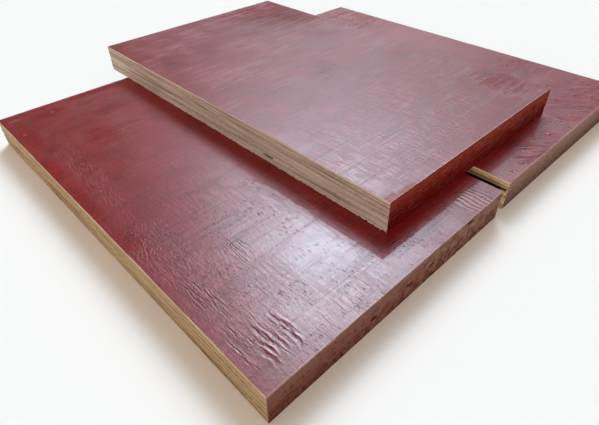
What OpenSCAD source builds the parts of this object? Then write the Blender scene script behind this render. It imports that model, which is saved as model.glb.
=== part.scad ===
// Three offcuts of red film-faced plywood: two lie side by side, and the third bridges the gap between them.
// Each board is an odd number of veneers, cross-banded and glued, with a phenolic film pressed on both faces.
// X runs along the row of lower boards, Y along each board's length, Z up from the surface they lie on.

/* [Board] */
// Length of each board
board_length = 300; // [150:1:1200]
// Width of each board
board_width = 180; // [90:1:600]

/* [Lay-up] */
// Number of veneers in a board, always odd so that both faces have the same grain direction
ply_count = 11; // [5:2:17]
// Thickness of one pressed veneer
veneer_thickness = 1.8; // [1.2:0.1:3.2]
// Thickness of the phenolic film on each face
film_thickness = 0.1; // [0.1:0.05:0.5]

/* [Stacking] */
// Gap between the two lower boards at their front ends
lower_gap = 10; // [4:0.5:40]
// Angle that the right board is turned away from the left one, in degrees
right_board_turn = 0.3; // [0:0.1:2]
// How far the right board lies behind the left board's front end
right_board_setback = 1; // [0:0.5:30]
// Width of the top board that rests on the left board
top_board_overlap = 76; // [40:1:85]
// How far the top board lies behind the left board's front end
top_board_setback = 25; // [0:1:60]

/* [Hidden] */
board_thickness = ply_count * veneer_thickness + 2 * film_thickness;
layer_count = ply_count + 2;
back_layer = 0;
face_layer = layer_count - 1;

film_colour = [0.44, 0.07, 0.07];
along_colour = [0.68, 0.55, 0.40];
across_colour = [0.55, 0.42, 0.29];

// Each board: name, place of its front left bottom corner from the left board's own, and its turn about that corner.
BOARDS = [
    ["left_board", [0, 0, 0], 0],
    ["right_board", [board_width + lower_gap, right_board_setback, 0], -right_board_turn],
    ["top_board", [board_width - top_board_overlap, top_board_setback, board_thickness], 0],
];

function board_name(board) = board[0];
function board_corner(board) = board[1];
function board_turn(board) = board[2];

// Height of a layer's underside in its board, counted from the back film up.
function layer_base(layer) =
    layer == back_layer ? 0 : film_thickness + (layer - 1) * veneer_thickness;

// Plies are numbered from the face down, as a lay-up is written. The odd ones have their grain along the board.
function ply_number(layer) = face_layer - layer;
function runs_along(layer) = ply_number(layer) % 2 == 1;
function two_digits(number) = str(number < 10 ? "0" : "", number);
function layer_name(board, layer) = str(
    board_name(board),
    layer == face_layer ? "_face_film"
    : layer == back_layer ? "_back_film"
    : str("_ply_", two_digits(ply_number(layer))));

// A point of a board's outline, turned and placed in plan.
function plan_point(board, x, y) =
    let (a = board_turn(board), c = board_corner(board))
    [c[0] + x * cos(a) - y * sin(a), c[1] + x * sin(a) + y * cos(a)];

outline_points = [
    for (board = BOARDS, x = [0, board_width], y = [0, board_length]) plan_point(board, x, y)
];
xs = [for (p = outline_points) p[0]];
ys = [for (p = outline_points) p[1]];
stack_centre = [(min(xs) + max(xs)) / 2, (min(ys) + max(ys)) / 2, 0];

// Carries its children from a board's own corner to the board's place in the stack.
module in_board(board) {
    translate(board_corner(board) - stack_centre)
        rotate([0, 0, board_turn(board)])
            children();
}

module film(board, layer) {
    color(film_colour)
        in_board(board)
            translate([0, 0, layer_base(layer)])
                cube([board_width, board_length, film_thickness]);
}

// Neighbouring veneers are cross-banded, so their sawn edges alternate between long grain and end grain.
module veneer(board, layer) {
    color(runs_along(layer) ? along_colour : across_colour)
        in_board(board)
            translate([0, 0, layer_base(layer)])
                cube([board_width, board_length, veneer_thickness]);
}

module board_layer(board, layer) {
    if (layer == back_layer || layer == face_layer)
        film(board, layer);
    else
        veneer(board, layer);
}

for (board = BOARDS, layer = [back_layer : face_layer])
    board_layer(board, layer);
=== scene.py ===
# %% [markdown]
# # Three offcuts of red film-faced plywood
# Film-faced plywood is a stack of thin veneers, glued with their grain crossed, under a red phenolic film on
# each face. Two cut boards lie side by side here, and a third one lies across the gap between them.
# The frame already holds every film and every ply as a plain solid at its real place. This lesson dresses
# them: each film becomes a fine sheet with creases and worn edges, and each ply becomes a sawn sheet with
# torn fibres.

# %% Load the frame and measure it
import math
from collections import namedtuple

import bpy
import numpy as np
from mathutils import Matrix, Vector


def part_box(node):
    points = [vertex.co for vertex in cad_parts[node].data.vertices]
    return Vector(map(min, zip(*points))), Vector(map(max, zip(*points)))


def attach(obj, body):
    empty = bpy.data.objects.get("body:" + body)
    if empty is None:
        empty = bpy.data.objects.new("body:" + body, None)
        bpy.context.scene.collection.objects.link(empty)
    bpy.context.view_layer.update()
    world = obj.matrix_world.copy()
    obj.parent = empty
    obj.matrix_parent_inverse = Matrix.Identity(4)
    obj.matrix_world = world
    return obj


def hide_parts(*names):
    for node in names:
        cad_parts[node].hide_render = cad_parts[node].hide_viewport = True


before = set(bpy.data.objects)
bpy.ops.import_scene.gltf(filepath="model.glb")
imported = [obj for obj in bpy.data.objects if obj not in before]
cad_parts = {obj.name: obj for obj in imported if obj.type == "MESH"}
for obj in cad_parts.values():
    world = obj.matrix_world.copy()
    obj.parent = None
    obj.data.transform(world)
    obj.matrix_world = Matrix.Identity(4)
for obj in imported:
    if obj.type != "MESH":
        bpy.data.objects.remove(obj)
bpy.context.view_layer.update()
MM = 0.001

# %% [markdown]
# Each board is modelled in its own frame: X across its width, Y along its length and Z up, from its front
# left bottom corner. That keeps every number below readable as a place on a board. One board lies a little
# askew, so its frame is turned. The corner and the directions are read from the board's lowest film.

# %% Find each board's own frame
Board = namedtuple("Board", "name place width length thick ply film")
PLY_COUNT = sum(name.startswith("left_board_ply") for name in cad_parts)


def find_board(name):
    """A board's frame and sizes, from the corners of its back film and the top of its face film."""
    back_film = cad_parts[f"{name}_back_film"]
    corners = np.array([vertex.co for vertex in back_film.data.vertices])
    front_left = Vector(corners[np.argmin(corners @ (1, 1, 1))])
    front_right = Vector(corners[np.argmax(corners @ (1, -1, -1))])
    back_left = Vector(corners[np.argmax(corners @ (-1, 1, -1))])
    across = front_right - front_left
    along = back_left - front_left
    turn = Matrix((across.normalized(), along.normalized(), (0, 0, 1))).transposed()
    place = Matrix.Translation(front_left) @ turn.to_4x4()
    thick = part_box(f"{name}_face_film")[1].z - front_left.z
    ply_low, ply_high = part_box(f"{name}_ply_01")
    ply = ply_high.z - ply_low.z
    film = (thick - PLY_COUNT * ply) / 2
    return Board(name, place, across.length, along.length, thick, ply, film)


def ply_bottom(board, ply):
    """Height of a ply's lower side. Plies are numbered from the face down."""
    return board.film + (PLY_COUNT - ply) * board.ply


BOARDS = {name: find_board(name) for name in ("left_board", "right_board", "top_board")}
for board in BOARDS.values():
    sizes = (board.width, board.length, board.thick, board.ply, board.film)
    print(board.name, [round(size / MM, 2) for size in sizes], "mm")

# %% [markdown]
# The camera stands where the photograph was taken. Its place, its aim and its focal length were fitted to the
# corners of the three boards, so the render falls on the photograph. The picture is tilted by about a degree,
# which is the roll. A focal length in pixels becomes a lens through the sensor's width.

# %% Set up the camera
PHOTO_WIDTH_PX = 599
FOCAL_PX = 469.6
CAMERA_AT = Vector((-0.2371, -0.2376, 0.1852))
CAMERA_YAW = math.radians(46.83)
CAMERA_PITCH = math.radians(-39.92)
CAMERA_ROLL = math.radians(1.12)
SENSOR_MM = 36


def direction(azimuth, elevation):
    """Unit vector at an azimuth from +X towards +Y and an elevation above the floor, in radians."""
    level = math.cos(elevation)
    return Vector((level * math.cos(azimuth), level * math.sin(azimuth), math.sin(elevation)))


def add_camera():
    lens = bpy.data.cameras.new("photo_camera")
    lens.sensor_width = SENSOR_MM
    lens.lens = FOCAL_PX / PHOTO_WIDTH_PX * SENSOR_MM
    lens.clip_start = 0.01
    camera = bpy.data.objects.new("photo_camera", lens)
    bpy.context.scene.collection.objects.link(camera)
    aim = direction(CAMERA_YAW, CAMERA_PITCH)
    level_right = aim.cross(Vector((0, 0, 1))).normalized()
    level_up = level_right.cross(aim)
    right = math.cos(CAMERA_ROLL) * level_right - math.sin(CAMERA_ROLL) * level_up
    up = right.cross(aim)
    camera.matrix_world = Matrix.Translation(CAMERA_AT) @ Matrix((right, up, -aim)).transposed().to_4x4()
    bpy.context.scene.camera = camera
    return camera


camera = add_camera()
bpy.context.scene.view_settings.view_transform = "Standard"
print("lens", round(camera.data.lens, 2), "mm")

# %% [markdown]
# A material is a sum of masks, so it reads best as a sum. `Wire` wraps one socket of a node tree: adding or
# multiplying two wires adds the Math node that does it. Every other kind of node comes from its `node`
# method, which sets the node's settings first and then fills or links its inputs.

# %% Write shader maths as Python


class Wire:
    """One socket of a node tree. Sums of wires and numbers add Math nodes to the same tree."""

    def __init__(self, tree, socket=None):
        self.tree = tree
        self.socket = socket

    def node(self, kind, settings=None, inputs=None, out=0):
        """Adds a node, its settings first and then its inputs, and gives the wire of one of its outputs."""
        made = self.tree.nodes.new(kind)
        for name, value in (settings or {}).items():
            if name == "stops":
                fill_ramp(made.color_ramp, value)
            else:
                setattr(made, name, value)
        for name, value in (inputs or {}).items():
            if isinstance(value, Wire):
                self.tree.links.new(value.socket, made.inputs[name])
            else:
                made.inputs[name].default_value = value
        return Wire(self.tree, made.outputs[out] if made.outputs else None)

    def math(self, operation, first, second=0.0):
        return self.node("ShaderNodeMath", {"operation": operation}, {0: first, 1: second})

    def __add__(self, other):
        return self.math("ADD", self, other)

    __radd__ = __add__

    def __sub__(self, other):
        return self.math("SUBTRACT", self, other)

    def __rsub__(self, other):
        return self.math("SUBTRACT", other, self)

    def __mul__(self, other):
        return self.math("MULTIPLY", self, other)

    __rmul__ = __mul__

    def __truediv__(self, other):
        return self.math("DIVIDE", self, other)

    def __rtruediv__(self, other):
        return self.math("DIVIDE", other, self)

    def larger(self, other):
        return self.math("MAXIMUM", self, other)

    def smaller(self, other):
        return self.math("MINIMUM", self, other)

    def ramp(self, low, high):
        """0 below low, 1 above high and a smooth step between them."""
        ends = {"Value": self, "From Min": low, "From Max": high}
        return self.node("ShaderNodeMapRange", {"interpolation_type": "SMOOTHSTEP"}, ends)

    def blend(self, first, second):
        """A colour that goes from first to second as this wire goes from 0 to 1."""
        return self.node("ShaderNodeMix", {"data_type": "RGBA"}, {0: self, 6: first, 7: second}, out=2)

    def axis(self, index):
        """One coordinate of a vector wire."""
        return self.node("ShaderNodeSeparateXYZ", None, {0: self}, out=index)

    def vector(self, operation, other):
        return self.node("ShaderNodeVectorMath", {"operation": operation}, {0: self, 1: other})

    def dot(self, other):
        sides = {0: self, 1: other}
        return self.node("ShaderNodeVectorMath", {"operation": "DOT_PRODUCT"}, sides, out="Value")

    def noise(self, stretch, detail=2.0, rough=0.5):
        """Soft noise from 0 to 1 with so many bumps a metre along X, Y and Z."""
        scaled = self.vector("MULTIPLY", stretch)
        inputs = {"Vector": scaled, "Scale": 1.0, "Detail": detail, "Roughness": rough}
        return self.node("ShaderNodeTexNoise", None, inputs)

    def swing(self, weight):
        """How far soft noise is from its middle, times a weight."""
        return (self - 0.5) * weight

    def shaken(self, bumps, reach):
        """The same coordinates, moved in plan by soft noise of so many bumps a metre, up to a reach."""
        inputs = {"Vector": self, "Scale": bumps, "Detail": 1.0}
        push = self.node("ShaderNodeTexNoise", None, inputs, out="Color")
        centred = push.vector("SUBTRACT", (0.5, 0.5, 0.5))
        return self.vector("ADD", centred.vector("MULTIPLY", (reach, reach, 0)))

    def away_from(self, middle):
        """How far this wire is from a number."""
        return self.math("ABSOLUTE", self - middle)

    def seams(self, stretch, width):
        """Thin lines where soft noise crosses its middle: 1 on a line and 0 beside it."""
        return 1 - self.noise(stretch).away_from(0.5).ramp(0.0, width)


def fill_ramp(ramp, stops):
    """Steps of grey: each stop is a place from 0 to 1 and the grey that starts there."""
    ramp.interpolation = "CONSTANT"
    while len(ramp.elements) < len(stops):
        ramp.elements.new(1.0)
    for element, (place, grey) in zip(ramp.elements, stops):
        element.position = place
        element.color = (grey, grey, grey, 1)


print("shader operators ready")

# %% [markdown]
# The light is a plain studio. A large soft window behind the boards lies in the mirror direction of the
# camera, and it makes the film shine. Two weaker ones beside it carry the shine to the outer boards. They are
# cool and have no hard edge, so each is a soft lobe in the world's own colour. The wall behind the camera is
# pale and slightly warm, and the far side of the room is dim, so the film stays deep red where it mirrors no
# window. A white band at the horizon carries the floor on.

# %% Light the room
Window = namedtuple("Window", "azimuth elevation reach_aside reach_up light")
WINDOWS = [
    Window(40.7, 45.9, 10.4, 11.8, (16.3, 20.3, 23.8)),
    Window(12.0, 37.5, 11.5, 10.8, (2.0, 2.5, 2.9)),
    Window(55.5, 35.8, 6.0, 8.3, (1.4, 1.75, 2.05)),
]
WINDOW_SIDE = (0.0, 0.3)
FAR_LIGHT = (0.20, 0.195, 0.195, 1)
NEAR_LIGHT = (0.63, 0.55, 0.47, 1)
NEAR_BAND = (-0.25, 0.45)
HORIZON_LIGHT = (1.0, 1.0, 1.0, 1)
HORIZON_BAND = (math.sin(math.radians(3)), math.sin(math.radians(9)))


def window_glow(towards, window):
    """Light of a soft oval window, from the direction that a ray looks towards."""
    azimuth = math.radians(window.azimuth)
    elevation = math.radians(window.elevation)
    level_axis = direction(azimuth + math.pi / 2, 0)
    steep_axis = direction(azimuth + math.pi, math.pi / 2 - elevation)
    aside = towards.dot(level_axis) / math.sin(math.radians(window.reach_aside))
    above = towards.dot(steep_axis) / math.sin(math.radians(window.reach_up))
    in_front = towards.dot(direction(azimuth, elevation)).ramp(*WINDOW_SIDE)
    glow = in_front * aside.math("EXPONENT", 0 - aside * aside - above * above)
    return glow.node("ShaderNodeVectorMath", {"operation": "SCALE"}, {0: window.light, "Scale": glow})


def light_room():
    world = bpy.data.worlds.new("studio")
    world.use_nodes = True
    world.node_tree.nodes.clear()
    start = Wire(world.node_tree)
    towards = start.node("ShaderNodeTexCoord")
    nearness = towards.dot(-direction(math.radians(WINDOWS[0].azimuth), 0))
    walls = nearness.ramp(*NEAR_BAND).blend(FAR_LIGHT, NEAR_LIGHT)
    room = towards.axis(2).ramp(*HORIZON_BAND).blend(HORIZON_LIGHT, walls)
    for window in WINDOWS:
        room = room.vector("ADD", window_glow(towards, window))
    sky = start.node("ShaderNodeBackground", None, {"Color": room})
    start.node("ShaderNodeOutputWorld", None, {"Surface": sky})
    bpy.context.scene.world = world


light_room()
print(len(WINDOWS), "windows in a pale room")

# %% [markdown]
# The boards lie on a plain white floor that reaches to the horizon. The windows stand behind the boards and
# leave the near edges dark, so a low, wide lamp on the camera's side fills them. A sun lamp with a broad disc
# does that: its shadows are soft, and it lights every board alike.

# %% Lay the floor and fill the shadows
FILL_AZIMUTH = math.radians(202)
FILL_ELEVATION = math.radians(14)
FILL_DISC = math.radians(40)
FILL_LEVEL = 0.85
FILL_TINT = (1.0, 0.90, 0.77)
FLOOR_SIDE = 60.0
FLOOR_COLOUR = (0.995, 0.935, 0.88, 1)
FLOOR_ROUGHNESS = 0.9
FLOOR_SPECULAR = 0.1


def add_sun(name, azimuth, elevation, disc, level, tint):
    lamp = bpy.data.lights.new(name, "SUN")
    lamp.energy = level
    lamp.angle = disc
    lamp.color = tint
    sun = bpy.data.objects.new(name, lamp)
    sun.rotation_mode = "QUATERNION"
    sun.rotation_quaternion = (-direction(azimuth, elevation)).to_track_quat("-Z", "Y")
    bpy.context.scene.collection.objects.link(sun)


def add_floor():
    half = FLOOR_SIDE / 2
    mesh = bpy.data.meshes.new("floor")
    corners = [(-half, -half, 0), (half, -half, 0), (half, half, 0), (-half, half, 0)]
    mesh.from_pydata(corners, [], [(0, 1, 2, 3)])
    paint = bpy.data.materials.new("floor_paint")
    paint.use_nodes = True
    shader = paint.node_tree.nodes["Principled BSDF"]
    shader.inputs["Base Color"].default_value = FLOOR_COLOUR
    shader.inputs["Roughness"].default_value = FLOOR_ROUGHNESS
    shader.inputs["Specular IOR Level"].default_value = FLOOR_SPECULAR
    mesh.materials.append(paint)
    floor = bpy.data.objects.new("floor", mesh)
    bpy.context.scene.collection.objects.link(floor)


add_sun("fill_lamp", FILL_AZIMUTH, FILL_ELEVATION, FILL_DISC, FILL_LEVEL, FILL_TINT)
add_floor()
print("a floor", FLOOR_SIDE, "m wide and a fill lamp")

# %% [markdown]
# Every finish starts from the same few nodes: a Principled shader and the object's own coordinates. A
# board's pieces sit in the board's frame, so these coordinates are metres from the board's corner. Each board
# moves its patterns by an offset of its own, because no two boards have the same grain.

# %% Start a material
PATTERN_SHIFT = {
    "left_board": (0.0, 0.0, 0.0),
    "right_board": (3.1, 1.7, 0.4),
    "top_board": (7.3, 4.9, 0.9),
}


def start_material(name, board):
    """A new material, its coordinates on the board, and the same coordinates moved for its patterns."""
    material = bpy.data.materials.new(name)
    material.use_nodes = True
    material.node_tree.nodes.clear()
    on_board = Wire(material.node_tree).node("ShaderNodeTexCoord", None, None, out="Object")
    return material, on_board, on_board.vector("ADD", PATTERN_SHIFT[board.name])


def finish_material(material, colour, roughness, height_mm, more):
    """Adds the shader. Height is relief in millimetres, and more holds the other sockets that are set."""
    start = Wire(material.node_tree)
    relief = start.node("ShaderNodeBump", None, {"Strength": 1.0, "Distance": MM, "Height": height_mm})
    sockets = {"Base Color": colour, "Roughness": roughness, "Normal": relief, **more}
    shader = start.node("ShaderNodeBsdfPrincipled", None, sockets)
    start.node("ShaderNodeOutputMaterial", None, {"Surface": shader})
    return material


def spot(on_board, x, y, reach_x, reach_y):
    """1 at a place on a board's face and 0 at the edge of an ellipse round it, all in millimetres."""
    away_x = (on_board.axis(0) - x * MM) / (reach_x * MM)
    away_y = (on_board.axis(1) - y * MM) / (reach_y * MM)
    return 1.0 - (away_x * away_x + away_y * away_y)


print("material helpers ready")

# %% [markdown]
# The film is paper soaked in red phenolic resin and cured against a polished plate. The plate leaves fine
# lines across the board, and the veneer below leaves lines along it, strongest at the front where the wood
# has swollen. Loose film wrinkles along the board. All of these are long and thin, so each is a noise that
# is stretched one way, and a line lies where that noise crosses its middle. Broader noises make them come
# and go.

# %% Make the film's patterns
FilmNoise = namedtuple("FilmNoise", "clouds mottle streaks smears grain crowd")
# A wrinkle's last column is how much shade is painted into its line, which also dulls the skin there.
Wrinkles = namedtuple("Wrinkles", "pitch lean height_mm dirt")
WRINKLES = {
    "left_board": Wrinkles(pitch=(420, 130, 1), lean=0.0, height_mm=0.06, dirt=0.0),
    "right_board": Wrinkles(pitch=(230, 60, 1), lean=1.0, height_mm=-0.25, dirt=0.45),
    "top_board": Wrinkles(pitch=(300, 90, 1), lean=0.0, height_mm=0.05, dirt=0.0),
}
WRINKLE_WIDTH = 0.1
PLATE_PITCH = (9, 330, 1)
VENEER_PITCH = (350, 40, 1)
LINE_WIDTH = 0.13
SWOLLEN_UP_TO = (90 * MM, 210 * MM)
SWOLLEN_SHARE = 0.8


def film_noise(pattern):
    """The film's patterns from broad to fine, as bumps a metre across and along the board."""
    return FilmNoise(
        clouds=pattern.noise((24, 19, 1), detail=4, rough=0.6),
        mottle=pattern.noise((75, 75, 1), detail=3, rough=0.6),
        streaks=pattern.noise((40, 620, 1), detail=4, rough=0.6),
        smears=pattern.noise((18, 150, 1), detail=4, rough=0.6),
        grain=pattern.noise((650, 650, 1), detail=2, rough=0.6),
        crowd=pattern.noise((50, 50, 1), detail=2),
    )


def swings(noise, weights):
    """Sum of the swings of several patterns, each by its own weight."""
    return sum(getattr(noise, name).swing(weight) for name, weight in weights.items())


def swollen_wood(on_board):
    """1 at the front of the board, where the wood has swollen, and little at its back."""
    return 1 - on_board.axis(1).ramp(*SWOLLEN_UP_TO) * SWOLLEN_SHARE


def film_lines(pattern, noise, swollen):
    """Fine lines: the plate's across the board, and the veneer's along it where the wood has swollen."""
    plate = pattern.shaken(60, 0.8 * MM).seams(PLATE_PITCH, LINE_WIDTH) * noise.smears.ramp(0.4, 0.62)
    veneer = pattern.shaken(120, 1.2 * MM).seams(VENEER_PITCH, LINE_WIDTH) * noise.clouds.ramp(0.3, 0.6)
    return (plate * (0.5 + swollen * 0.5)).larger(veneer * swollen)


def film_wrinkles(pattern, wrinkles):
    """Thin wrinkles along the board, which lean sideways by a share of their length."""
    leaned = {0: pattern.axis(0) + pattern.axis(1) * wrinkles.lean, 1: pattern.axis(1)}
    leaning = pattern.node("ShaderNodeCombineXYZ", None, leaned)
    return leaning.shaken(200, 2 * MM).seams(wrinkles.pitch, WRINKLE_WIDTH)


print("film patterns:", ", ".join(FilmNoise._fields))

# %% [markdown]
# Handling adds the other marks: scratches, short ticks, specks, worn corners, and polished, stained and
# wrinkled patches. A painted mask could hold them all, but a mask needs an image and its own map. Here each
# patch is an ellipse with a ragged border that is placed in millimetres on its board, and the small
# marks are the peaks of a fine noise.

# %% Mark the film
Patch = namedtuple("Patch", "x y reach_x reach_y")
WORN_FILM = {
    "left_board": [Patch(9, 290, 7, 1.5), Patch(34, 284, 2, 2), Patch(7, 264, 2, 1.5),
                   Patch(15, 165, 1.5, 1.5)],
    "right_board": [Patch(3, 0, 5, 2)],
    "top_board": [Patch(2, 0, 12, 8), Patch(14, 0, 12, 4)],
}
POLISHED_FILM = {
    "left_board": [Patch(2, 207, 10, 26), Patch(30, 284, 18, 13), Patch(6, 113, 12, 26),
                   Patch(3, 160, 7, 40), Patch(8, 262, 9, 34), Patch(60, 296, 60, 9),
                   Patch(45, 225, 14, 22)],
    "right_board": [Patch(160, 266, 62, 70), Patch(165, 75, 45, 50)],
    "top_board": [Patch(172, 285, 95, 115), Patch(166, 30, 30, 35)],
}
STAINED_FILM = {
    "left_board": [],
    "right_board": [],
    "top_board": [Patch(150, 242, 36, 32), Patch(128, 178, 34, 30), Patch(120, 262, 34, 16)],
}
WRINKLED_FILM = {
    "left_board": [Patch(18, 200, 11, 72), Patch(15, 95, 16, 54), Patch(40, 45, 42, 50),
                   Patch(70, 12, 60, 16)],
    "right_board": [Patch(135, 20, 70, 32), Patch(45, 8, 40, 13)],
    "top_board": [Patch(90, 30, 90, 30)],
}
FilmMarks = namedtuple("FilmMarks", "lines scratches ticks specks worn polished stained wrinkles furrow")
RAGGED_BORDER = {"clouds": 1.6, "grain": 1.2}
SOFT_BORDER = {"clouds": 2.6, "mottle": 0.6}
BORDER_FROM = 0.1
TICK_SHARE = {"left_board": 0.6, "right_board": 0.3, "top_board": 0.15}
TICK_PITCH = (1300, 280, 1)
SPECK_PITCH = (520, 520, 1)
SCRATCH_PITCH = (3, 420, 1)


def any_spot(on_board, patches, ragged, softness):
    """The largest of several patches, with their borders made ragged and soft, or 0 if there are none."""
    largest = 0.0
    for patch in patches:
        mark = (spot(on_board, *patch) + ragged).ramp(BORDER_FROM, BORDER_FROM + softness)
        largest = mark.larger(largest)
    return largest


def film_marks(board, on_board, pattern, noise):
    """Where the film has each kind of mark, from 0 to 1. The furrows of its creases come with the mesh."""
    swollen = swollen_wood(on_board)
    ragged = swings(noise, RAGGED_BORDER)
    soft = swings(noise, SOFT_BORDER)
    ticks = (pattern.noise(TICK_PITCH, detail=1) + noise.crowd.swing(0.5)).ramp(0.65, 0.73)
    specks = (pattern.noise(SPECK_PITCH, detail=2, rough=0.6) + noise.crowd.swing(0.4)).ramp(0.70, 0.80)
    wrinkled = any_spot(on_board, WRINKLED_FILM[board.name], soft, 0.8)
    return FilmMarks(
        lines=film_lines(pattern, noise, swollen),
        scratches=pattern.noise(SCRATCH_PITCH, detail=2, rough=0.6).ramp(0.62, 0.70),
        ticks=ticks * swollen * TICK_SHARE[board.name],
        specks=specks,
        worn=any_spot(on_board, WORN_FILM[board.name], ragged, 0.9),
        polished=any_spot(on_board, POLISHED_FILM[board.name], soft, 1.2),
        stained=any_spot(on_board, STAINED_FILM[board.name], soft, 1.0),
        wrinkles=film_wrinkles(pattern, WRINKLES[board.name]) * wrinkled,
        furrow=pattern.node("ShaderNodeAttribute", {"attribute_name": "furrow"}, None, out="Fac"),
    )


print("film marks:", ", ".join(FilmMarks._fields))

# %% [markdown]
# Cured film is deep red under a clear glossy skin. Haze and wear make it paler, and dirt and stains make it
# darker. A highlight is painted salmon pink along its front edge, where the film rolls over, and pale along
# its wrinkles, and shade is painted dark in the furrows of its creases. The shine has two parts: the resin
# scatters the windows over a wide angle, and the skin mirrors what stands on it. So the resin is the shader's
# own gloss, and the skin is its coat, which every kind of wear takes away by a share. On one board the skin
# is also dull at the foot of the upper board, where dust gathers.

# %% Finish the red film
FILM_DARK = (0.18, 0.003, 0.002, 1)
FILM_HAZE = (0.45, 0.25, 0.28, 1)
FILM_SALMON = (0.55, 0.22, 0.18, 1)
FILM_DIRT_AND_SHADE = (0.06, 0.005, 0.005, 1)
FILM_STAIN = (0.09, 0.02, 0.016, 1)
STAIN_SHARE = 0.35
FRONT_ARRIS = (0.4 * MM, 0.9 * MM)
DULL_ACROSS = (76 * MM, 98 * MM)
DULL_ALONG = (14 * MM, 30 * MM)
HAZE_SWINGS = {"streaks": 1.0, "smears": 0.8, "clouds": 0.9}
SCUFF_SWINGS = {"clouds": 0.42, "mottle": 0.16, "streaks": 0.24, "smears": 0.14, "grain": 0.12}
SKIN_LOSS = {"lines": 0.15, "scratches": 0.15, "ticks": 0.5, "worn": 0.4, "furrow": 0.5}
ROUGHNESS_GAIN = {"lines": 0.04, "worn": 0.12, "furrow": -0.18}
FURROW_SHADE = 0.6
WORN_SHARE = 0.35
SPECK_SHARE = 0.2
WRINKLE_HIGHLIGHT = 0.1
RESIN_ROUGHNESS = 0.39
LEAST_ROUGHNESS = 0.12
RESIN_SPECULAR = 0.40
LINE_MM = 0.03
SCRATCH_MM = 0.02
TICK_MM = 0.1
FilmLook = namedtuple("FilmLook", "red lines arris haze haze_mm polish grain_mm skin skin_roughness dull")
FILM_LOOKS = {
    "left_board": FilmLook(red=(0.285, 0.0042, 0.003, 1), lines=0.5, arris=0.45, haze=0.10, haze_mm=(15, 75),
                           polish=0.2, grain_mm=0.1, skin=0.45, skin_roughness=0.06, dull=0.45),
    "right_board": FilmLook(red=(0.33, 0.005, 0.0035, 1), lines=0.4, arris=0.5, haze=0.15, haze_mm=(-2, -1),
                            polish=0.17, grain_mm=0.2, skin=0.46, skin_roughness=0.08, dull=0.0),
    "top_board": FilmLook(red=(0.29, 0.0042, 0.003, 1), lines=0.42, arris=0.8, haze=0.27, haze_mm=(-2, -1),
                          polish=0.24, grain_mm=0.1, skin=0.35, skin_roughness=0.07, dull=0.0),
}


def film_colour(board, on_board, noise, marks):
    """Red resin, then haze, wear, dirt, stains, painted highlights and painted shade over each other."""
    look = FILM_LOOKS[board.name]
    depth = noise.clouds * 0.4 + noise.mottle * 0.3 + noise.grain * 0.3
    red = depth.ramp(0.36, 0.58).blend(FILM_DARK, look.red)
    haze_from, haze_full = look.haze_mm
    beside = on_board.axis(0).ramp(haze_from * MM, haze_full * MM)
    haze = (0.5 + swings(noise, HAZE_SWINGS)).ramp(0.49, 0.66) * beside * look.haze
    # Haze and specks make the red paler, and a highlight is painted pale along the wrinkles.
    hazed_and_highlit = (haze + marks.specks * SPECK_SHARE + marks.wrinkles * WRINKLE_HIGHLIGHT).blend(red, FILM_HAZE)
    # A highlight is painted salmon pink along the front edge, where the film rolls over. Worn patches take
    # the same salmon as real wear.
    front_arris_highlight = (1 - on_board.axis(1).ramp(*FRONT_ARRIS)) * look.arris
    worn_and_highlit = (marks.worn * WORN_SHARE).larger(front_arris_highlight).blend(hazed_and_highlit, FILM_SALMON)
    # Dirt darkens the fine lines and ticks. Shade is painted dark in the creases' furrows, and on one board
    # in the wrinkles too.
    dirt = (marks.lines * look.lines).larger(marks.ticks).larger(marks.furrow * FURROW_SHADE)
    dirtied_and_shaded = dirt.larger(marks.wrinkles * WRINKLES[board.name].dirt).blend(worn_and_highlit, FILM_DIRT_AND_SHADE)
    if not STAINED_FILM[board.name]:
        return dirtied_and_shaded
    return (marks.stained * STAIN_SHARE).blend(dirtied_and_shaded, FILM_STAIN)


def film_shine(board, on_board, noise, marks):
    """How rough the resin is, and how much of the clear skin is left on it."""
    look = FILM_LOOKS[board.name]
    scuffs = swings(noise, SCUFF_SWINGS)
    roughness = RESIN_ROUGHNESS + scuffs - marks.polished * look.polish
    for mark, gain in ROUGHNESS_GAIN.items():
        roughness = roughness + getattr(marks, mark) * gain
    skin = look.skin + scuffs * 0.5
    for mark, loss in SKIN_LOSS.items():
        skin = skin - getattr(marks, mark) * loss
    dull = on_board.axis(0).ramp(*DULL_ACROSS) * on_board.axis(1).ramp(*DULL_ALONG)
    skin = skin - marks.wrinkles * WRINKLES[board.name].dirt - dull * look.dull - marks.stained * STAIN_SHARE
    return roughness.larger(LEAST_ROUGHNESS), skin.larger(0.0)


def film_finish(board):
    material, on_board, pattern = start_material(f"{board.name}_film", board)
    look = FILM_LOOKS[board.name]
    noise = film_noise(pattern)
    marks = film_marks(board, on_board, pattern, noise)
    colour = film_colour(board, on_board, noise, marks)
    roughness, skin = film_shine(board, on_board, noise, marks)
    height_mm = noise.grain * look.grain_mm - marks.lines * LINE_MM
    height_mm = height_mm + marks.wrinkles * WRINKLES[board.name].height_mm
    height_mm = height_mm - marks.scratches * SCRATCH_MM - marks.ticks * TICK_MM
    gloss = {"IOR": 1.5, "Specular IOR Level": RESIN_SPECULAR}
    coat = {"Coat Weight": skin, "Coat Roughness": look.skin_roughness}
    return finish_material(material, colour, roughness, height_mm, {**gloss, **coat})


FILM = {name: film_finish(board) for name, board in BOARDS.items()}
print("films:", [material.name for material in FILM.values()])

# %% [markdown]
# A board's plies lie with their grain crossed, and each has a tone of its own. A material for every ply would
# give that, but dozens of materials are hard to keep alike. So a board's plies share one ramp up its
# thickness: each ply is a step on it, and the plies that stand out are listed.

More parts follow.
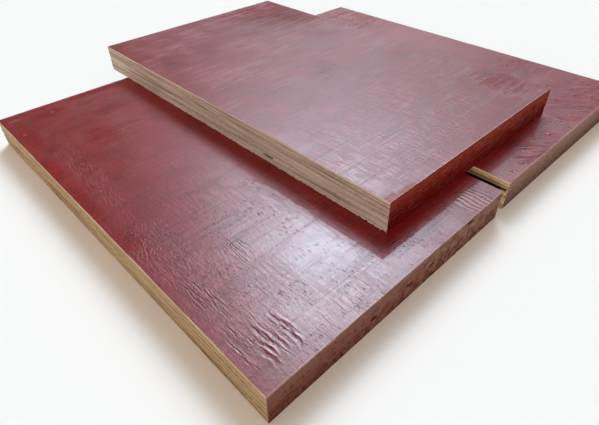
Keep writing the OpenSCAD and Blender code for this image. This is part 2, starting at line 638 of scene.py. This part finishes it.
# %% Tone the plies
GRAIN_TONE = {"along": 0.9, "across": 0.65}
ODD_TONES = {
    "left_board": {4: 0.55, 8: 0.5, 11: 0.5},
    # On the right board the upper plies are paler and the lower ones darker: partly darker wood, and partly
    # painted shade in the gap between the lower boards.
    "right_board": {1: 1.1, 2: 1.0, 3: 0.6, 4: 0.3, 5: 0.3, 8: 0.4},
    "top_board": {1: 0.95, 2: 0.85, 3: 0.6, 4: 0.7, 5: 0.72, 6: 0.7, 7: 0.9, 8: 0.75, 9: 0.4, 10: 0.9,
                  11: 0.95},
}


def grain_of(ply):
    """The odd plies have their grain along the board."""
    return "along" if ply % 2 else "across"


def ply_tones(board):
    """The ramp's steps from the back of the board to its face: how pale each ply is."""
    steps = []
    for ply in range(PLY_COUNT, 0, -1):
        tone = ODD_TONES[board.name].get(ply, GRAIN_TONE[grain_of(ply)])
        steps.append((ply_bottom(board, ply) / board.thick, tone))
    return steps


for board in BOARDS.values():
    print(board.name, "tones from back to face:", [tone for _, tone in ply_tones(board)])

# %% [markdown]
# A veneer's sawn edge looks different by its grain. Where the grain runs along the edge, the saw opens long
# pale fibres, and where it runs into the edge, the cut ends are darker and finely dotted. One noise that is
# stretched along the grain gives both: it shows as streaks on one side of the board and as dots on the next.
# A highlight is painted pale on the upper corner, and shade is painted dark with depth inside core gaps.

# %% Finish the sawn veneers
GRAIN_STRETCH = {"along": (2400, 24, 2400), "across": (24, 2400, 2400)}
VENEER_PALE = {
    "left_board": (0.51, 0.345, 0.192, 1),
    # The right board's pale is a lighter copy of the same wood: painted light that lifts the shade of the gap
    # where its sawn edge shows.
    "right_board": (0.82, 0.60, 0.34, 1),
    "top_board": (0.61, 0.48, 0.40, 1),
}
VENEER_DEEP = {
    "left_board": (0.20, 0.115, 0.055, 1),
    "right_board": (0.20, 0.115, 0.055, 1),
    "top_board": (0.20, 0.138, 0.105, 1),
}
GLUE_COLOUR = (0.13, 0.07, 0.04, 1)
ARRIS_HIGHLIGHT = (0.70, 0.51, 0.37, 1)
ARRIS_MM = 0.7
HOLLOW_SHADE = (0.02, 0.008, 0.004, 1)
HOLLOW_FROM = (0.9 * MM, 2.2 * MM)
MIDDLE_TONE = 0.75
DARK_JOINTS = {"left_board": (7, 10), "right_board": (1, 2), "top_board": (1, 9)}
JOINT_WIDTH = (0.1 * MM, 0.4 * MM)
JOINT_SHARE = 0.85
GLUE_SHARE = 0.12
FLECK_SHARE = 0.6
ARRIS_HIGHLIGHT_SHARE = 0.8
VENEER_ROUGHNESS = 0.72
VENEER_SPECULAR = 0.3
FIBRE_MM = 0.16
BAND_MM = 0.06


def glue_lines(board, height_up, fade):
    """A faint line of glue on both sides of every ply, and a dark one at the joints that stand out."""
    plies_up = (height_up - board.film) / board.ply
    glue = plies_up.math("FRACT", plies_up).away_from(0.5).ramp(0.42, 0.5) * GLUE_SHARE
    for joint in DARK_JOINTS[board.name]:
        on_joint = 1 - height_up.away_from(ply_bottom(board, joint)).ramp(*JOINT_WIDTH)
        glue = glue.larger(on_joint * fade.ramp(0.3, 0.6) * JOINT_SHARE)
    return glue


def depth_inside(board, on_board):
    """How far a point lies inside the nearest side of its board, in metres."""
    across = on_board.axis(0)
    along = on_board.axis(1)
    return across.smaller(board.width - across).smaller(along).smaller(board.length - along)


def veneer_finish(board, grain):
    material, on_board, pattern = start_material(f"{board.name}_veneer_{grain}", board)
    stretch = GRAIN_STRETCH[grain]
    fibres = pattern.noise(stretch, detail=3, rough=0.65)
    bands = pattern.noise([bumps / 5 for bumps in stretch], detail=2)
    flecks = pattern.noise([bumps / 2 for bumps in stretch], detail=1).ramp(0.66, 0.76)
    streaks = pattern.noise((13, 13, 520), detail=4, rough=0.65)
    fade = pattern.noise((14, 14, 150), detail=3)
    height_up = on_board.axis(2)
    level = height_up / board.thick
    ply_tone = level.node("ShaderNodeValToRGB", {"stops": ply_tones(board)}, {0: level})
    tone = MIDDLE_TONE + (ply_tone - MIDDLE_TONE) * fade.ramp(0.3, 0.62)
    pale = tone + fibres.swing(1.2) + bands.swing(0.8) + streaks.swing(2.6)
    wood = pale.ramp(0.0, 1.25).blend(VENEER_DEEP[board.name], VENEER_PALE[board.name])
    glued = glue_lines(board, height_up, fade).blend(wood, GLUE_COLOUR)
    flecked = (flecks * FLECK_SHARE).blend(glued, GLUE_COLOUR)
    upper_side = board.thick - board.film
    # Painted highlight: a pale line along the upper corner of the face ply.
    arris = height_up.ramp(upper_side - ARRIS_MM * MM, upper_side - 0.5 * ARRIS_MM * MM)
    arris_highlit = (arris * ARRIS_HIGHLIGHT_SHARE).blend(flecked, ARRIS_HIGHLIGHT)
    # Painted shade: deep inside a core gap the wood goes to the dark shade of the hollow.
    colour = depth_inside(board, on_board).ramp(*HOLLOW_FROM).blend(arris_highlit, HOLLOW_SHADE)
    roughness = VENEER_ROUGHNESS + fibres.swing(0.2)
    height_mm = fibres * FIBRE_MM + bands * BAND_MM
    return finish_material(material, colour, roughness, height_mm, {"Specular IOR Level": VENEER_SPECULAR})


VENEER = {}
for name, board in BOARDS.items():
    for grain in GRAIN_STRETCH:
        VENEER[name, grain] = veneer_finish(board, grain)
print("veneers:", len(VENEER), "finishes")

# %% [markdown]
# The front end of each board was painted with a red-brown edge sealer at the mill. It fills the pores
# unevenly and is darker towards the bottom, partly because it lies thicker in the lower plies and partly as
# painted shade at the foot of the face. Its upper corner is rubbed pale on two boards and is a dark line on
# the top board. On two boards it also wears thin towards the right, and inside gaps in the front end shade is
# painted dark. It is paint on the plies and no piece of its own, so it is a second material on the plies'
# front faces.

# %% Finish the sealed ends
SealerLook = namedtuple("SealerLook", "top low arris rise wear")
SEALER_PIT = (0.032, 0.007, 0.005, 1)
SEALER_RUB = (0.44, 0.28, 0.23, 1)
SEALER_LOOKS = {
    "left_board": SealerLook(top=(0.21, 0.09, 0.066, 1), low=(0.155, 0.042, 0.026, 1), arris=SEALER_RUB,
                             rise=(0.1, 0.9), wear=0.42),
    "right_board": SealerLook(top=(0.30, 0.165, 0.135, 1), low=(0.17, 0.085, 0.065, 1), arris=SEALER_RUB,
                              rise=(0.1, 0.9), wear=0.0),
    "top_board": SealerLook(top=(0.29, 0.045, 0.025, 1), low=(0.14, 0.001, 0.0008, 1), arris=SEALER_PIT,
                            rise=(0.28, 1.05), wear=0.07),
}
SEALER_HOLLOW_FROM = (0.2 * MM, 0.8 * MM)
SEALER_SPECULAR = 0.05
SEALER_UPPER_CORNER = (0.94, 0.97)


def sealer_finish(board):
    material, on_board, pattern = start_material(f"{board.name}_sealer", board)
    look = SEALER_LOOKS[board.name]
    up = on_board.axis(2) / board.thick
    brush = pattern.noise((60, 60, 900), detail=3)
    blots = pattern.noise((180, 180, 180), detail=4, rough=0.6)
    pores = (pattern.noise((430, 430, 430), detail=2, rough=0.6) + (0.5 - up) * 0.12).ramp(0.55, 0.66)
    grit = pattern.noise((1000, 1000, 1000), detail=2, rough=0.6)
    # Darker towards the bottom: partly the paint lying thicker, partly painted shade at the foot of the face.
    paint = (up + blots.swing(1.0) + brush.swing(0.5) + grit.swing(2.4)).ramp(*look.rise)
    painted = paint.blend(look.low, look.top)
    wear = on_board.axis(0) / board.width * look.wear
    faded = (wear * blots.ramp(0.4, 0.6)).blend(painted, SEALER_RUB)
    rub = (up + blots.swing(0.05)).ramp(*SEALER_UPPER_CORNER)
    rubbed = (rub * 0.7).blend(faded, look.arris)
    pitted = (pores * 0.75).larger(grit.ramp(0.52, 0.66) * 0.5).blend(rubbed, SEALER_PIT)
    # Painted shade: deep inside a gap in the front end the sealer goes to the same dark shade.
    colour = on_board.axis(1).ramp(*SEALER_HOLLOW_FROM).blend(pitted, HOLLOW_SHADE)
    roughness = 0.6 + blots * 0.2
    height_mm = blots * 0.15 + brush * 0.08 - pores * 0.2
    return finish_material(material, colour, roughness, height_mm, {"Specular IOR Level": SEALER_SPECULAR})



SEALER = {name: sealer_finish(board) for name, board in BOARDS.items()}
print("sealers:", [material.name for material in SEALER.values()])

# %% [markdown]
# Meshes come from arrays here, because a board's edge has thousands of points that all follow a rule. One
# helper turns vertices and faces into an object in its board's frame, smooths it except at sharp corners, and
# tells the frame which node it stands for, which body it rides on and which material slot it belongs to.

# %% Make pieces from arrays
SHARP_ANGLE = math.radians(32)
triangle_counts = {}


def wandering(rng, count, reach):
    """A random line of about -1 to 1 that wanders over so many samples."""
    kernel = np.hanning(2 * reach + 3)
    line = np.convolve(rng.standard_normal(count + 2 * reach + 2), kernel, "valid")[:count]
    return line / np.sqrt((kernel ** 2).sum())


def add_piece(name, board, vertices, faces, materials, face_materials, furrow=None):
    """Builds a piece in its board's frame, in place of the node that has the same name."""
    mesh = bpy.data.meshes.new(name)
    mesh.from_pydata(vertices.tolist(), [], faces)
    for material in materials:
        mesh.materials.append(material)
    mesh.polygons.foreach_set("material_index", np.asarray(face_materials, np.int32))
    if furrow is not None:
        mesh.attributes.new("furrow", "FLOAT", "POINT").data.foreach_set("value", furrow.astype(np.float32))
    mesh.shade_smooth()
    mesh.set_sharp_from_angle(angle=SHARP_ANGLE)
    mesh.validate()
    piece = bpy.data.objects.new(f"{name}_dressed", mesh)
    piece.matrix_world = board.place
    bpy.context.scene.collection.objects.link(piece)
    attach(piece, "root")
    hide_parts(name)
    triangle_counts[name] = sum(len(face) - 2 for face in faces)
    return piece


print("mesh helpers ready")

# %% [markdown]
# The saw leaves each side of a ply a little uneven: every point of its edge is pushed inwards by wander, by
# torn fibres and, where a core veneer didn't meet its neighbour, by a deep notch. The cut ends of fibres tear
# more than long fibres do, and paint levels the sealed front end. The lower edge that the saw left last is
# splintered. A bump could fake all this from afar, but a gap has to be deep enough to be dark inside.

# %% Cut the edge of a ply
Notch = namedtuple("Notch", "side ply start end low high depth")
NOTCHES = {
    "left_board": [
        Notch("front", 2, 143.5, 148, 0.1, 0.9, 9),
        Notch("front", 6, 108.5, 112.5, 0.1, 0.9, 8),
        Notch("front", 7, 62.5, 66.5, 0.1, 0.9, 8),
        Notch("front", 6, 91, 94, 0.1, 0.9, 8),
        Notch("right", 5, 120, 131, 0.0, 1.0, 4.0),
        Notch("back", 8, 70, 76, 0.0, 1.0, 3.0),
    ],
    "right_board": [
        Notch("front", 4, 52, 54, 0.2, 0.9, 1.2),
        Notch("right", 7, 205, 214, 0.0, 1.0, 4.0),
        Notch("left", 4, 1, 70, 0.0, 1.0, 6.0),
        Notch("left", 5, 5, 34, 0.4, 1.0, 4.0),
    ],
    "top_board": [
        Notch("left", 9, 89, 97.5, 0.0, 1.0, 5.0),
        Notch("left", 2, 2, 20, 0.8, 1.0, 1.6),
        Notch("left", 10, 178, 186, 0.3, 1.0, 2.0),
        Notch("right", 3, 66, 74, 0.0, 1.0, 4.0),
        Notch("back", 5, 108, 113, 0.0, 1.0, 3.0),
    ],
}
ROW_HEIGHTS = (0.0, 0.15, 0.5, 0.85, 1.0)
LONG_STEP = 0.9 * MM
END_STEP = 1.2 * MM
SIDES = ("front", "right", "back", "left")
TEAR_MM = {"along": 0.06, "across": 0.13}
TEAR_REACH = {"along": 5, "across": 1}
WANDER_MM = 0.05
WANDER_REACH = 40
EASED_REACH = 6
FRAY_SHARE = 0.3
SEALED_SHARE = 0.35
EASED_MM = 0.4
TORN_LOWER_MM = {"left_board": 0.06, "right_board": 0.06, "top_board": 0.6}


def side_length(board, side):
    return board.width if side in ("front", "back") else board.length


def side_steps(board, side):
    step = END_STEP if side in ("front", "back") else LONG_STEP
    return round(side_length(board, side) / step)


def place_on_side(board, side, count):
    """Distance of each sample of a side from the board's front left corner, along that side."""
    ahead = np.linspace(0, side_length(board, side), count)
    return ahead if side in ("front", "right") else ahead[::-1]


def cut_notches(board, ply, side, cut, rng):
    """Deepens a cut where a core veneer has a gap."""
    at = place_on_side(board, side, cut.shape[1]) / MM
    for notch in NOTCHES[board.name]:
        if (notch.side, notch.ply) == (side, ply):
            inside = (at > notch.start) & (at < notch.end)
            for row, height in enumerate(ROW_HEIGHTS):
                if notch.low <= height <= notch.high:
                    cut[row, inside] += notch.depth * (0.7 + 0.3 * rng.random(inside.sum()))


def cut_side(board, ply, side, rng):
    """How far each point of a ply's edge lies inside the saw line, in metres: one row for each height."""
    count = side_steps(board, side) + 1
    grain_on_side = "along" if (grain_of(ply) == "along") == (side in ("left", "right")) else "across"
    reach = TEAR_REACH[grain_on_side]
    depth = TEAR_MM[grain_on_side]
    wander = np.abs(WANDER_MM * wandering(rng, count, WANDER_REACH) + WANDER_MM * rng.random())
    tear = np.abs(wandering(rng, count, reach)) * depth
    frays = [FRAY_SHARE * np.abs(wandering(rng, count, reach)) * depth for _ in ROW_HEIGHTS]
    cut = wander + tear + np.array(frays)
    if side == "front":
        cut *= SEALED_SHARE
    elif ply == 1:
        cut[-1] += EASED_MM * (0.8 + 0.25 * wandering(rng, count, EASED_REACH))
    if ply == PLY_COUNT and side != "front":
        splits = np.clip(wandering(rng, count, 0), 0, 2) * TORN_LOWER_MM[board.name]
        cut[0] += splits
        cut[1] += 0.5 * splits
    cut_notches(board, ply, side, cut, rng)
    return np.clip(cut, 0, None) * MM


print("core gaps:", {name: len(notches) for name, notches in NOTCHES.items()})

# %% [markdown]
# A ply is a ring of points round the board at a few heights, closed by a flat face above and below. A box
# with a noise modifier would move its flat faces too, and plies that share a face must not cross. A ring that
# is only pushed inwards keeps every ply inside its own solid.

# %% Saw the plies
OUTWARDS = {"front": (0, -1), "right": (1, 0), "back": (0, 1), "left": (-1, 0)}


def ply_rings(board, ply, rng):
    """The ring of points at each height, walking front, right, back and left."""
    cuts = {side: cut_side(board, ply, side, rng) for side in SIDES}
    corners = {"front": (0, 0), "right": (board.width, 0), "back": (board.width, board.length),
               "left": (0, board.length)}
    rings = []
    for row in range(len(ROW_HEIGHTS)):
        parts = []
        for index, side in enumerate(SIDES):
            before = SIDES[index - 1]
            following = SIDES[(index + 1) % len(SIDES)]
            steps = side_steps(board, side)
            share = np.arange(steps)[:, None] / steps
            line = np.array(corners[side]) * (1 - share) + np.array(corners[following]) * share
            line = line - np.array(OUTWARDS[side]) * cuts[side][row, :-1, None]
            line[0] -= np.array(OUTWARDS[before]) * cuts[before][row, -1]
            parts.append(line)
        rings.append(np.concatenate(parts))
    return rings


def band_faces(lower, upper, count):
    """Quads between two rings of count points that start at those two numbers."""
    here = np.arange(count)
    after = (here + 1) % count
    return np.stack([lower + here, lower + after, upper + after, upper + here], 1).tolist()


def saw_ply(board, ply):
    name = f"{board.name}_ply_{ply:02d}"
    rng = np.random.default_rng([ply, *name.encode()])
    rings = ply_rings(board, ply, rng)
    count = len(rings[0])
    low = ply_bottom(board, ply)
    layers = [np.column_stack([ring, np.full(count, low + share * board.ply)])
              for ring, share in zip(rings, ROW_HEIGHTS)]
    faces = [list(range(count))[::-1]]
    face_materials = [0]
    on_front = np.arange(count) < side_steps(board, "front")
    for row in range(len(layers) - 1):
        faces += band_faces(row * count, (row + 1) * count, count)
        face_materials += on_front.astype(int).tolist()
    faces.append(list(range((len(layers) - 1) * count, len(layers) * count)))
    face_materials.append(0)
    grain = grain_of(ply)
    materials = [VENEER[board.name, grain], SEALER[board.name]]
    return add_piece(name, board, np.concatenate(layers), faces, materials, face_materials)


for board in BOARDS.values():
    for ply in range(1, PLY_COUNT + 1):
        saw_ply(board, ply)
print("plies:", sum(triangle_counts.values()), "triangles")

# %% [markdown]
# The veneer below has waved the film slightly all over. Groups of creases run along the grain, where it has
# shrunk away from the glue, and each crease is a narrow furrow between two raised lips. One loose patch at a
# corner is rippled. They have to bend the reflection of the windows, and a bump alone would leave the mirror
# image flat, so each is a formula for the film's height at a place on the board.

# %% Crease the film
Creases = namedtuple("Creases", "x y across along count length lift wide slant")
CREASES = {
    "left_board": [
        Creases(43, 73, 6, 9, 14, 15, 0.08, 0.32, 0.2),
        Creases(54, 74, 8, 4, 12, 4, 0.06, 0.25, 0.2),
        Creases(11, 54, 5, 10, 12, 21, 0.08, 0.32, 0.2),
        Creases(20, 19, 9, 8, 10, 15, 0.08, 0.85, 0.15),
        Creases(15, 24, 11, 13, 24, 15, 0.06, 0.28, 0.2),
        Creases(56, 5, 7, 3, 8, 6, 0.08, 0.3, 0.3),
        Creases(70, 45, 45, 40, 80, 4, 0.035, 0.25, 0.2),
        Creases(50, 14, 35, 10, 50, 5, 0.045, 0.25, 0.2),
        Creases(19, 195, 9, 55, 60, 6, 0.05, 0.3, 0.3),
        Creases(100, 6, 62, 5, 50, 3, 0.04, 0.3, 0.3),
    ],
    "right_board": [
        Creases(130, 16, 45, 14, 40, 7, 0.16, 0.75, 0.5),
        Creases(42, 7, 32, 6, 20, 6, 0.14, 0.7, 0.6),
        Creases(80, 120, 70, 90, 60, 6, 0.04, 0.25, 0.3),
    ],
    "top_board": [
        Creases(60, 60, 50, 50, 50, 6, 0.03, 0.25, 0.2),
        Creases(130, 40, 40, 35, 40, 8, 0.035, 0.25, 0.2),
        Creases(90, 190, 70, 80, 60, 7, 0.03, 0.25, 0.2),
    ],
}
HALF_LENGTHS = (0.35, 0.65)
LEANS = (-1, 0.5)
WIDTHS = (0.7, 1.25)
LIFTS = (0.6, 1.2)
BEND_MM = 0.7
JAG_MM = 0.3
LIP_AWAY = 1.5
LIP_WIDTH = 0.6
FAR_LIP_SHARE = 0.6
FLOOR_SHARE = 0.8
Ripples = namedtuple("Ripples", "x y across along pitch lift")
RIPPLES = {"left_board": [Ripples(161, 7, 11, 9, 3.1, 0.045)], "right_board": [], "top_board": []}
WAVE_COUNT = 26
WAVES_ACROSS = (40, 260)
WAVES_ALONG = (2, 40)
WAVE_MM = 0.0008


def waves(x, y, rng):
    """The veneer's gentle waves, mostly across the grain, in millimetres."""
    height = np.zeros_like(x)
    for _ in range(WAVE_COUNT):
        per_x = rng.uniform(*WAVES_ACROSS)
        per_y = rng.uniform(*WAVES_ALONG)
        height += WAVE_MM * np.sin(2 * np.pi * (per_x * x + per_y * y + rng.random()))
    return height


def crease(x, y, group, rng):
    """One crease of a group: the height of its floor and lips in millimetres, and a mask of its floor."""
    middle_x = (group.x + group.across * rng.uniform(-1, 1)) * MM
    middle_y = (group.y + group.along * rng.uniform(-1, 1)) * MM
    half = group.length * rng.uniform(*HALF_LENGTHS) * MM
    lean = rng.uniform(*LEANS) * group.slant
    bend = rng.uniform(-1, 1) * BEND_MM * MM
    wide = group.wide * rng.uniform(*WIDTHS) * MM
    lift = group.lift * rng.uniform(*LIFTS)
    share = (y - middle_y) / half
    jag = JAG_MM * MM * np.sin(share * rng.uniform(4, 9) + rng.uniform(0, 6))
    line = middle_x + lean * (y - middle_y) + bend * np.cos(2.2 * share) + jag
    away = (x - line) / wide
    taper = np.clip(1 - share ** 2, 0, 1)
    floor = taper / (1 + away ** 6)
    near_lip = np.exp(-((away - LIP_AWAY) / LIP_WIDTH) ** 2)
    far_lip = np.exp(-((away + LIP_AWAY) / LIP_WIDTH) ** 2)
    lips = near_lip + FAR_LIP_SHARE * far_lip
    return lift * (taper * lips - FLOOR_SHARE * floor), floor


def ripple(x, y, field):
    """Waves side by side across the board in a patch of loose film, in millimetres."""
    away_x = (x / MM - field.x) / field.across
    away_y = (y / MM - field.y) / field.along
    inside = np.clip(1.3 - away_x ** 4 - away_y ** 4, 0, 1)
    wander = 0.5 * np.sin(0.35 * y / MM + 0.2 * x / MM)
    return field.lift * inside * np.sin(2 * np.pi * (x / MM + wander) / field.pitch)


print("creases:", {name: sum(group.count for group in groups) for name, groups in CREASES.items()})

# %% [markdown]
# Creases add up to the relief of a whole face. Where another board lies on the film it is pressed flat, and
# the uppermost film stays below the top of the stack, because a look must not make the object taller. Its
# furrows are kept as a mask too, for the shade that is painted in them.

# %% Shape the face of a film
CREASE_SEEDS = {"left_board": 10, "right_board": 11, "top_board": 9}
DEEPEST_MM = 0.085
HIGHEST_MM = 0.20
TOP_MARGIN_MM = 0.05
DEEP_LIFT_MM = 0.1
COVER_BORDER_MM = 2


def covered(board, x, y):
    """1 where another board lies on this one, with a soft border of a few millimetres outside it."""
    on_top = BOARDS["top_board"]
    if board is on_top:
        return np.zeros_like(x)
    to_top = on_top.place.inverted() @ board.place
    across = to_top[0][0] * x + to_top[0][1] * y + to_top[0][3]
    along = to_top[1][0] * x + to_top[1][1] * y + to_top[1][3]
    inside = np.minimum.reduce([across, on_top.width - across, along, on_top.length - along])
    return np.clip(1 + inside / (COVER_BORDER_MM * MM), 0, 1)


def film_relief(board, x, y, under):
    """Height of the face film over its plain plane, in metres, and a mask of its furrows. Both are nothing
    under the board that lies on it. The uppermost film keeps its lips below the top of the stack."""
    rng = np.random.default_rng(CREASE_SEEDS[board.name])
    height = waves(x, y, rng)
    furrow = np.zeros_like(x)
    for group in CREASES[board.name]:
        for _ in range(group.count):
            relief, floor = crease(x, y, group, rng)
            height += relief
            furrow = np.maximum(furrow, floor * min(1, group.lift / DEEP_LIFT_MM))
    for field in RIPPLES[board.name]:
        height += ripple(x, y, field)
    height = np.clip(height, -DEEPEST_MM, HIGHEST_MM)
    if board.name == "top_board":
        height = np.clip(height, -TOP_MARGIN_MM, TOP_MARGIN_MM) - TOP_MARGIN_MM
    return height * MM * (1 - under), furrow * (1 - under)


print("relief from", -DEEPEST_MM, "to", HIGHEST_MM, "mm")

# %% [markdown]
# A film is a closed sheet a tenth of a millimetre thick. Its outer side is a fine grid that carries the
# relief, closer together at the front where most creases are, and its inner side is one flat face on the
# plies. A subdivided plane would do, but a grid of arrays can also have the ragged rim that the saw leaves.

# %% Press the films
FACE_GRID = (540, 165)
FRONT_CROWDING = 1.4
BACK_GRID = (75, 125)
FACE_CHIPS = 0.08
BACK_CHIPS = 0.5
RIM_MM = {"front": 0.12, "right": 0.35, "back": 0.35, "left": 0.5}


def ragged_rim(columns, rows, rng, chipped):
    """How far a film stops short of the board's sides: front and back by column, left and right by row."""
    rim = {}
    for side in SIDES:
        count = columns + 1 if side in ("front", "back") else rows + 1
        chips = np.clip(wandering(rng, count, 2), 0, 3) ** 2
        rim[side] = RIM_MM[side] * MM * (0.6 + 0.2 * np.abs(wandering(rng, count, 8)) + chipped * chips)
    return rim


def film_plan(board, grid, chipped, rng):
    """Where the points of a film's grid lie across and along the board: closer together at the front."""
    columns, rows = grid
    rim = ragged_rim(columns, rows, rng, chipped)
    u = np.linspace(0, 1, columns + 1)[None, :]
    v = np.linspace(0, 1, rows + 1)[:, None] ** FRONT_CROWDING
    x = rim["left"][:, None] * (1 - u) + (board.width - rim["right"])[:, None] * u
    y = rim["front"][None, :] * (1 - v) + (board.length - rim["back"])[None, :] * v
    return x, y


def closed_sheet(x, y, outer, inner_z):
    """Vertices and faces of a grid that is closed by a rim and by one flat face at the height inner_z."""
    numbers = np.arange(x.size).reshape(x.shape)
    ring = np.concatenate([numbers[0, :-1], numbers[:-1, -1], numbers[-1, :0:-1], numbers[:0:-1, 0]])
    outside = np.column_stack([x.ravel(), y.ravel(), outer.ravel()])
    inside = outside[ring].copy()
    inside[:, 2] = inner_z
    corner = numbers[:-1, :-1].ravel()
    stride = x.shape[1]
    quads = np.stack([corner, corner + 1, corner + stride + 1, corner + stride], 1)
    inner = x.size + np.arange(len(ring))
    rim_quads = np.stack([inner, np.roll(inner, -1), np.roll(ring, -1), ring], 1)
    faces = [*quads.tolist(), *rim_quads.tolist(), inner[::-1].tolist()]
    return np.concatenate([outside, inside]), faces


def press_film(board, side, grid, chipped):
    name = f"{board.name}_{side}_film"
    rng = np.random.default_rng([*name.encode()])
    x, y = film_plan(board, grid, chipped, rng)
    if side == "face":
        relief, furrow = film_relief(board, x, y, covered(board, x, y))
        vertices, faces = closed_sheet(x, y, board.thick + relief, board.thick - board.film)
    else:
        furrow = np.zeros_like(x)
        vertices, faces = closed_sheet(x, y, np.zeros_like(x), board.film)
        faces = [face[::-1] for face in faces]
    furrows = np.zeros(len(vertices))
    furrows[:x.size] = furrow.ravel()
    one_finish = np.zeros(len(faces))
    return add_piece(name, board, vertices, faces, [FILM[board.name]], one_finish, furrows)


for board in BOARDS.values():
    press_film(board, "face", FACE_GRID, FACE_CHIPS)
    press_film(board, "back", BACK_GRID, BACK_CHIPS)
print("all pieces:", sum(triangle_counts.values()), "triangles, most in one:", max(triangle_counts.values()))
